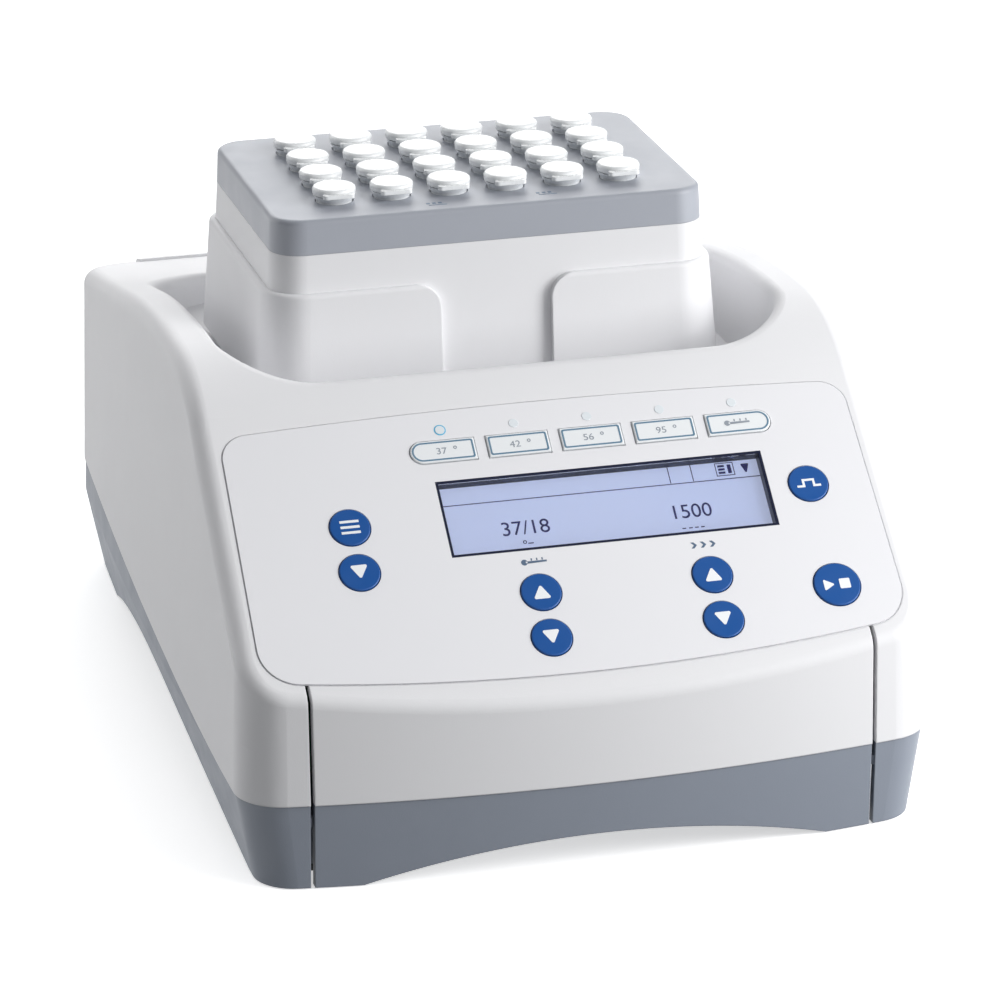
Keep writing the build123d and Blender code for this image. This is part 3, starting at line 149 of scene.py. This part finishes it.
def clear_finish():
    """The clear display window."""
    material = finish("clear_window", (250, 252, 255), drift=0.004, rough=(0.02, 0.06), depth=0.0005)
    shader = material.node_tree.nodes["Principled BSDF"]
    shader.inputs["Transmission Weight"].default_value = 1
    shader.inputs["IOR"].default_value = 1.46
    return material


def backlit_finish():
    """The display's face: lavender, lit from behind, a little brighter at the left and right."""
    material = finish("lcd_face", (150, 162, 196), drift=0.05, rough=(0.3, 0.4), cloud=9, depth=0.001)
    tree = material.node_tree
    shader = tree.nodes["Principled BSDF"]
    coordinates = tree.nodes.new("ShaderNodeTexCoord").outputs["Object"]
    clouds = noise(tree, 16, 1, coordinates)
    glow = shade_between(tree, clouds, linear(184, 192, 220), linear(198, 205, 228))
    tree.links.new(glow, shader.inputs["Emission Color"])
    shader.inputs["Emission Strength"].default_value = 0.68
    return material


STEEL_EDGE = 0.2
MATERIALS = {
    "housing_white": finish(
        "housing_white", (235, 235, 237), 0.012, (0.46, 0.54), edge=0.5, Specular_IOR_Level=0.3
    ),
    "foil_white": finish(
        "foil_white", (237, 237, 240), 0.008, (0.44, 0.50), grain=4200, depth=0.012, edge=0.2,
        Specular_IOR_Level=0.35,
    ),
    "base_grey": finish("base_grey", (133, 140, 152), 0.03, (0.42, 0.52), depth=0.03, edge=0.5),
    "cap_grey": finish(
        "cap_grey", (160, 164, 173), 0.025, (0.42, 0.5), depth=0.025, edge=0.4, Specular_IOR_Level=0.7
    ),
    "bezel_navy": finish("bezel_navy", (14, 22, 52), 0.05, (0.3, 0.4), edge=0.1),
    "clear_window": clear_finish(),
    "lcd_face": backlit_finish(),
    "light_pipe": finish("light_pipe", (232, 238, 242), 0.02, (0.15, 0.25), edge=0.15),
    "board_green": finish("board_green", (28, 84, 52), 0.15, (0.35, 0.5), cloud=60),
    "supply_dark": finish("supply_dark", (44, 46, 50), 0.12, (0.4, 0.6), cloud=60, edge=0.3),
    "black_plastic": finish("black_plastic", (26, 27, 29), 0.08, (0.4, 0.55), depth=0.03, edge=0.3),
    "rocker_black": finish("rocker_black", (20, 20, 22), 0.06, (0.2, 0.32), edge=0.3),
    "cast_plate": finish(
        "cast_plate", (168, 170, 172), 0.07, (0.4, 0.6), grain=900, depth=0.08, edge=0.4, Metallic=1.0
    ),
    "bearing_steel": finish(
        "bearing_steel", (186, 188, 192), 0.04, (0.18, 0.3), edge=STEEL_EDGE, Metallic=1.0
    ),
    "motor_metal": finish("motor_metal", (88, 90, 94), 0.06, (0.3, 0.45), edge=0.3, Metallic=0.9),
    "brass": finish("brass", (196, 160, 92), 0.05, (0.25, 0.38), edge=STEEL_EDGE, Metallic=1.0),
    "aluminium": finish("aluminium", (190, 192, 195), 0.04, (0.28, 0.42), grain=1500, edge=0.3, Metallic=1.0),
    "silicone_orange": finish("silicone_orange", (196, 96, 42), 0.08, (0.5, 0.65), depth=0.04, edge=0.2),
    "screw_steel": finish("screw_steel", (170, 172, 176), 0.06, (0.25, 0.4), edge=STEEL_EDGE, Metallic=1.0),
    "foot_rubber": finish("foot_rubber", (34, 35, 37), 0.1, (0.7, 0.85), depth=0.05, edge=0.4),
    "key_blue": finish("key_blue", (14, 82, 156), 0.04, (0.34, 0.44), grain=4200, depth=0.01, edge=0.15),
    "preset_white": finish(
        "preset_white", (240, 243, 245), 0.01, (0.34, 0.42), grain=4200, depth=0.01, edge=0.15
    ),
    "tube_plastic": finish("tube_plastic", (236, 239, 241), 0.02, (0.22, 0.32), cloud=60, edge=0.25),
    "lid_white": finish(
        "lid_white", (240, 242, 243), 0.015, (0.22, 0.32), cloud=60, edge=0.3,
        Subsurface_Weight=0.15, Subsurface_Radius=(0.002, 0.002, 0.002),
    ),
}

for part in frame["record"]["subparts"]:
    surface = nodes[part["node"]].data.materials
    surface.clear()
    surface.append(MATERIALS[part["material_slot"]])

# ---- printed marks and one painted glow, drawn flat on the plane that carries them ----
PANEL_TILT = radians(40.2)
PANEL_ORIGIN = Vector((0, -134.9, 66.2))
SLOPE = Vector((0, cos(PANEL_TILT), sin(PANEL_TILT)))
NORMAL = Vector((0, -sin(PANEL_TILT), cos(PANEL_TILT)))
FOIL_FACE = 0.3
KEY_FACE = 0.75
LCD_FACE = -3.2
CAP_FACE = 163.0
INK = 0.05                # how far an ink stands out of the face it is printed on
SUNK = 0.03               # and how far it reaches into it
INK_HALF = (INK + SUNK) / 2
INK_MIDDLE = (INK - SUNK) / 2

PANEL = Matrix(((1, 0, 0), SLOPE, NORMAL)).transposed().to_4x4()
PANEL.translation = PANEL_ORIGIN

INK_AND_GLOW_TONES = {
    "ink_white": (246, 248, 250),
    "ink_grey": (150, 158, 168),
    "ink_slate": (92, 112, 136),
    "ink_outline": (100, 134, 158),
    # painted glow of the lit preset light, a flat colour and not print
    "ink_led": (84, 184, 222),
    "lcd_figure": (46, 46, 118),
}
INKS_AND_GLOW = {
    name: finish(name, tone, 0.03, (0.4, 0.5), grain=5000, depth=0.004) for name, tone in INK_AND_GLOW_TONES.items()
}


def outline_mesh(name, outlines):
    """A thin plate between closed outlines about z = 0, as a curve; an inner outline cuts a hole."""
    curve = bpy.data.curves.new(name, "CURVE")
    curve.dimensions = "2D"
    curve.fill_mode = "BOTH"
    curve.extrude = INK_HALF
    for outline in outlines:
        spline = curve.splines.new("POLY")
        spline.points.add(len(outline) - 1)
        for point, (x, y) in zip(spline.points, outline):
            point.co = (x, y, 0, 1)
        spline.use_cyclic_u = True
    return curve


FIGURE_SHARE = 0.73       # a figure's height as a share of the font's size


def figure_text(name, text, height):
    """Plain figures as a text curve, centred, of that height."""
    curve = bpy.data.curves.new(name, "FONT")
    curve.body = text
    curve.size = height / FIGURE_SHARE
    curve.extrude = INK_HALF
    curve.align_x = "CENTER"
    curve.align_y = "BOTTOM_BASELINE"
    return curve


def settle(curve, place, body, ink_or_glow, stretch=1.0):
    """The curve's mesh, laid on its plane and given to the body that carries it."""
    name = curve.name
    carrier = bpy.data.objects.new(name, curve)
    bpy.context.scene.collection.objects.link(carrier)
    bpy.context.view_layer.update()
    mesh = bpy.data.meshes.new_from_object(carrier.evaluated_get(bpy.context.evaluated_depsgraph_get()))
    bpy.data.objects.remove(carrier)
    shape = bmesh.new()
    shape.from_mesh(mesh)
    bmesh.ops.remove_doubles(shape, verts=shape.verts, dist=1e-4)
    bmesh.ops.recalc_face_normals(shape, faces=shape.faces)
    scaled = Matrix.Scale(MM, 4) @ place @ Matrix.Diagonal((stretch, 1, 1, 1))
    bmesh.ops.transform(shape, matrix=scaled, verts=shape.verts)
    shape.to_mesh(mesh)
    shape.free()
    mesh.materials.clear()
    mesh.materials.append(INKS_AND_GLOW[ink_or_glow])
    piece = bpy.data.objects.new(name, mesh)
    bpy.context.scene.collection.objects.link(piece)
    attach(piece, body)


def on_panel(u, v, face):
    """The place on the panel plane at (u, v), with the ink standing just out of a face at that height."""
    return PANEL @ Matrix.Translation((u, v, face + INK_MIDDLE))


def arc(centre, radius, start, end, steps):
    """Points of a circular arc, angles in degrees."""
    turns = [radians(start + (end - start) * step / steps) for step in range(steps + 1)]
    return [(centre[0] + radius * cos(turn), centre[1] + radius * sin(turn)) for turn in turns]


def ring(radius, centre=(0, 0), steps=40):
    """A full circle of points."""
    return arc(centre, radius, 0, 360, steps)[:-1]


def bar(x, y, width, height):
    """A rectangle about a centre."""
    right, top = x + width / 2, y + height / 2
    return [(x - width / 2, y - height / 2), (right, y - height / 2), (right, top), (x - width / 2, top)]


def frame_bars(x, y, width, height, line):
    """The two outlines of a rectangular frame."""
    return [bar(x, y, width, height), bar(x, y, width - 2 * line, height - 2 * line)]


def rounded(corners, radius, steps=5):
    """A polygon with every corner rounded, its corners given anticlockwise."""
    points = []
    for index, corner in enumerate(corners):
        here = Vector(corner)
        before = (Vector(corners[index - 1]) - here).normalized()
        after = (Vector(corners[(index + 1) % len(corners)]) - here).normalized()
        half = before.angle(after) / 2
        reach = radius / sin(half)
        centre = here + (before + after).normalized() * reach
        start = here + before * (radius / sin(half) * cos(half)) - centre
        end = here + after * (radius / sin(half) * cos(half)) - centre
        for step in range(steps + 1):
            blend = start.lerp(end, step / steps).normalized() * radius
            points.append(tuple(centre + blend))
    return points


ARROW_ROUND = 0.45


def triangle(width, height, up=True):
    """A rounded triangle about its middle, pointing up or down."""
    sign = 1 if up else -1
    corners = [(-width / 2, -sign * height / 2), (width / 2, -sign * height / 2), (0, sign * height / 2)]
    if not up:
        corners = corners[::-1]
    return rounded(corners, ARROW_ROUND)


def stadium(left, right, height, round_left, round_right, corner):
    """An oblong whose ends are full rounds or have small corners."""
    points = []
    half = height / 2
    for x, end_round, angles in ((right, round_right, (-90, 90)), (left, round_left, (90, 270))):
        inward = -1 if x == right else 1
        radius = half if end_round else corner
        middle = x + inward * radius
        if end_round:
            points += arc((middle, 0), half, *angles, 16)
        elif x == right:
            points += arc((middle, -half + corner), corner, -90, 0, 5)
            points += arc((middle, half - corner), corner, 0, 90, 5)
        else:
            points += arc((middle, half - corner), corner, 90, 180, 5)
            points += arc((middle, -half + corner), corner, 180, 270, 5)
    return points


def thermometer(length, bulb, ticks):
    """A small thermometer lying on its side: a stem, a bulb at the left and ticks above."""
    marks = [bar(0.7, 0, length, 0.58), ring(bulb, (0.3 - length / 2, 0), 24)]
    return marks + [bar(x, 0.8, 0.38, 0.75) for x in ticks]


DEGREE_LINE = 0.27


def degree(radius, centre=(0, 0)):
    """A degree sign."""
    return [ring(radius, centre, 20), ring(radius - DEGREE_LINE, centre, 20)]


ROUND_KEYS = {
    "menu_key": (-61.3, 40.7),
    "menu_down_key": (-61.3, 25.9),
    "temp_up_key": (-10.6, 13.7),
    "temp_down_key": (-10.6, -1.1),
    "speed_up_key": (40.3, 13.7),
    "speed_down_key": (40.3, -1.1),
    "short_key": (75.6, 40.3),
    "start_stop_key": (76.1, 6.3),
}
ARROW = (5.4, 4.6)
PULSE = [
    (-3.6, -1.3), (-1.2, -1.3), (-1.2, 0.7), (1.2, 0.7), (1.2, -1.3), (3.6, -1.3),
    (3.6, -0.6), (1.9, -0.6), (1.9, 1.4), (-1.9, 1.4), (-1.9, -0.6), (-3.6, -0.6),
]
KEY_SIGNS = {
    "menu_key": [bar(0, offset, 5.6, 0.8) for offset in (-1.8, 0, 1.8)],
    "menu_down_key": [triangle(*ARROW, up=False)],
    "temp_up_key": [triangle(*ARROW)],
    "temp_down_key": [triangle(*ARROW, up=False)],
    "speed_up_key": [triangle(*ARROW)],
    "speed_down_key": [triangle(*ARROW, up=False)],
    "short_key": [PULSE],
    "start_stop_key": [
        rounded([(-4.0, -1.9), (-0.7, 0), (-4.0, 1.9)], 0.3),
        rounded([(0.7, -1.6), (3.9, -1.6), (3.9, 1.6), (0.7, 1.6)], 0.3),
    ],
}
for key, (u, v) in ROUND_KEYS.items():
    settle(outline_mesh(f"{key}_sign", KEY_SIGNS[key]), on_panel(u, v, KEY_FACE), f"{key}_body", "ink_white")

PRESET_U = (-29.0, -7.0, 15.0, 37.0, 59.0)
PRESET_V = 62.8
PRESET_HALF = 9.2
PRESET_EXTRA = 1.0
PRESET_HIGH = 7.2
PRESET_INSET = 0.5
PRESET_LINE = 0.5
PRESET_CORNER = 0.9
PRESET_FIGURES = ("37", "42", "56", "95")
PRESET_FIGURE = 2.2
PRESET_STRETCH = 1.1
for index, u in enumerate(PRESET_U):
    key = f"preset_key_{index + 1}"
    first, last = index == 0, index == len(PRESET_U) - 1
    left = -PRESET_HALF - (PRESET_EXTRA if first else 0)
    right = PRESET_HALF + (PRESET_EXTRA if last else 0)
    loops = []
    for inset in (PRESET_INSET, PRESET_INSET + PRESET_LINE):
        high = PRESET_HIGH - 2 * inset
        loops.append(stadium(left + inset, right - inset, high, first, last, PRESET_CORNER - inset / 2))
    curve = outline_mesh(f"{key}_outline", loops)
    settle(curve, on_panel(u, PRESET_V, KEY_FACE), f"{key}_body", "ink_outline")
    if last:
        curve = outline_mesh(f"{key}_figure", thermometer(6.4, 0.9, (-0.6, 1.2, 3.0)))
        settle(curve, on_panel(u, PRESET_V, KEY_FACE), f"{key}_body", "ink_grey")
    else:
        curve = figure_text(f"{key}_figure", PRESET_FIGURES[index], PRESET_FIGURE)
        place = on_panel(u - 1, PRESET_V - PRESET_FIGURE / 2, KEY_FACE)
        settle(curve, place, f"{key}_body", "ink_grey", PRESET_STRETCH)
        curve = outline_mesh(f"{key}_degree", degree(0.55))
        settle(curve, on_panel(u + 3.2, PRESET_V + 0.7, KEY_FACE), f"{key}_body", "ink_grey")

# the first preset's light is on; its glow is painted as a flat ring of its colour round it, which gives no
# light
LED_V = 69.9
LED_RADIUS = 1.4
LED_LINE = 0.35
curve = outline_mesh("painted_light_glow_ring", [ring(LED_RADIUS + LED_LINE), ring(LED_RADIUS)])
settle(curve, on_panel(PRESET_U[0], LED_V, FOIL_FACE), "housing", "ink_led")

# small signs above the temperature and speed keys
SIGN_V = 23.8
curve = outline_mesh("temperature_sign", thermometer(6.2, 0.95, (-0.6, 1.0, 2.6)))
settle(curve, on_panel(ROUND_KEYS["temp_up_key"][0], SIGN_V, FOIL_FACE), "housing", "ink_slate")
CHEVRON = [(-0.9, -1.0), (0, -1.0), (0.9, 0), (0, 1.0), (-0.9, 1.0), (0, 0)]
chevrons = [[(x + offset, y) for x, y in CHEVRON] for offset in (-3.2, -0.4, 2.4)]
curve = outline_mesh("speed_sign", chevrons)
settle(curve, on_panel(ROUND_KEYS["speed_up_key"][0], SIGN_V, FOIL_FACE), "housing", "ink_slate")

# ---- what the display shows ----
SCREEN_LEFT = -33.1
SCREEN_RIGHT = 63.1
SCREEN_LINE = 46.35
SCREEN_TOP = 52.9
RULE = 0.28
FIGURE_HEIGHT = 4.7
FIGURE_V = 34.8


def on_screen(curve, u=0, v=0):
    """A mark on the display's face."""
    settle(curve, on_panel(u, v, LCD_FACE), "housing", "lcd_figure")


middle = (SCREEN_LINE + SCREEN_TOP) / 2
rules = [bar((SCREEN_LEFT + SCREEN_RIGHT) / 2, SCREEN_LINE, SCREEN_RIGHT - SCREEN_LEFT, RULE)]
rules += [bar(u, middle, RULE, SCREEN_TOP - SCREEN_LINE - 2 * RULE) for u in (36.0, 42.9)]
on_screen(outline_mesh("screen_rules", rules))
icons = frame_bars(53.0, middle, 5.6, 4.4, 0.25)
icons += [bar(52.0, middle + offset, 2.0, 0.7) for offset in (-1.1, 0, 1.1)]
icons += [bar(54.4, middle, 1.1, 2.9), rounded([(57.9, 50.9), (59.2, 47.4), (60.5, 50.9)], 0.3)]
on_screen(outline_mesh("screen_icons", icons))
on_screen(figure_text("screen_temperature", "37/18", FIGURE_HEIGHT), -9.8, FIGURE_V)
on_screen(figure_text("screen_speed", "1500", FIGURE_HEIGHT), 39.8, FIGURE_V)
units = degree(0.6, (-10.9, 32.2)) + [bar(-9.2, 31.7, 1.6, 0.35)]
units += [bar(u, 31.4, 1.1, 0.35) for u in (36.6, 38.6, 40.4, 42.2)]
on_screen(outline_mesh("screen_units", units))

# two small position marks on the block's cap
for index, (x, y) in enumerate(((-15.0, -27.0), (19.0, -25.5))):
    marks = [bar(offset, 0, 1.1, 1.3) for offset in (-3.0, -1.2, 0.6)] + [bar(-0.4, -1.8, 5.6, 0.5)]
    curve = outline_mesh(f"cap_mark_{index + 1}", marks)
    place = Matrix.Translation((x, y, CAP_FACE + INK_MIDDLE))
    settle(curve, place, "platform", "ink_slate")

# ---- stage and light ----
FLOOR_SIZE = 30.0


def make_floor():
    """A large plain pale floor that is not part of the object."""
    mesh = bpy.data.meshes.new("studio_floor")
    half = FLOOR_SIZE / 2
    corners = [(-half, -half, 0), (half, -half, 0), (half, half, 0), (-half, half, 0)]
    mesh.from_pydata(corners, [], [(0, 1, 2, 3)])
    surface = finish("studio_floor", (250, 250, 250), 0.002, (0.75, 0.85), cloud=1, grain=300, depth=0.0)
    shader = surface.node_tree.nodes["Principled BSDF"]
    shader.inputs["Emission Color"].default_value = (1, 1, 1, 1)
    shader.inputs["Emission Strength"].default_value = 0.55
    mesh.materials.append(surface)
    floor = bpy.data.objects.new("studio_floor", mesh)
    bpy.context.scene.collection.objects.link(floor)
    floor.visible_diffuse = False


def soft_sun(name, towards, strength, spread):
    """Even light from one side of the studio; spread is the angle in degrees that its source fills."""
    data = bpy.data.lights.new(name, "SUN")
    data.energy = strength
    data.angle = radians(spread)
    lamp = bpy.data.objects.new(name, data)
    lamp.rotation_euler = Vector(towards).to_track_quat("Z", "Y").to_euler()
    bpy.context.scene.collection.objects.link(lamp)


def soft_panel(name, place, aim, size, power):
    """A square softbox near the object, whose light falls off across it."""
    data = bpy.data.lights.new(name, "AREA")
    data.energy = power
    data.size = size
    lamp = bpy.data.objects.new(name, data)
    lamp.location = place
    lamp.rotation_euler = (Vector(place) - Vector(aim)).to_track_quat("Z", "Y").to_euler()
    bpy.context.scene.collection.objects.link(lamp)


make_floor()
soft_sun("key_light", (0.72, -0.42, 0.55), 1.5, 40)
soft_sun("front_light", (0.25, -0.75, 0.55), 0.32, 50)
soft_sun("back_light", (0.2, 0.84, 0.5), 1.72, 55)
soft_sun("left_light", (-0.75, 0.6, 0.3), 1.14, 50)
soft_panel("right_panel", (0.50, -0.38, 0.22), (0.05, -0.12, 0.06), 0.3, 2.4)
world = bpy.data.worlds.new("studio")
world.use_nodes = True
world.node_tree.nodes["Background"].inputs["Color"].default_value = (0.95, 0.97, 1, 1)
world.node_tree.nodes["Background"].inputs["Strength"].default_value = 0.175
bpy.context.scene.world = world
bpy.context.scene.view_settings.view_transform = "Standard"
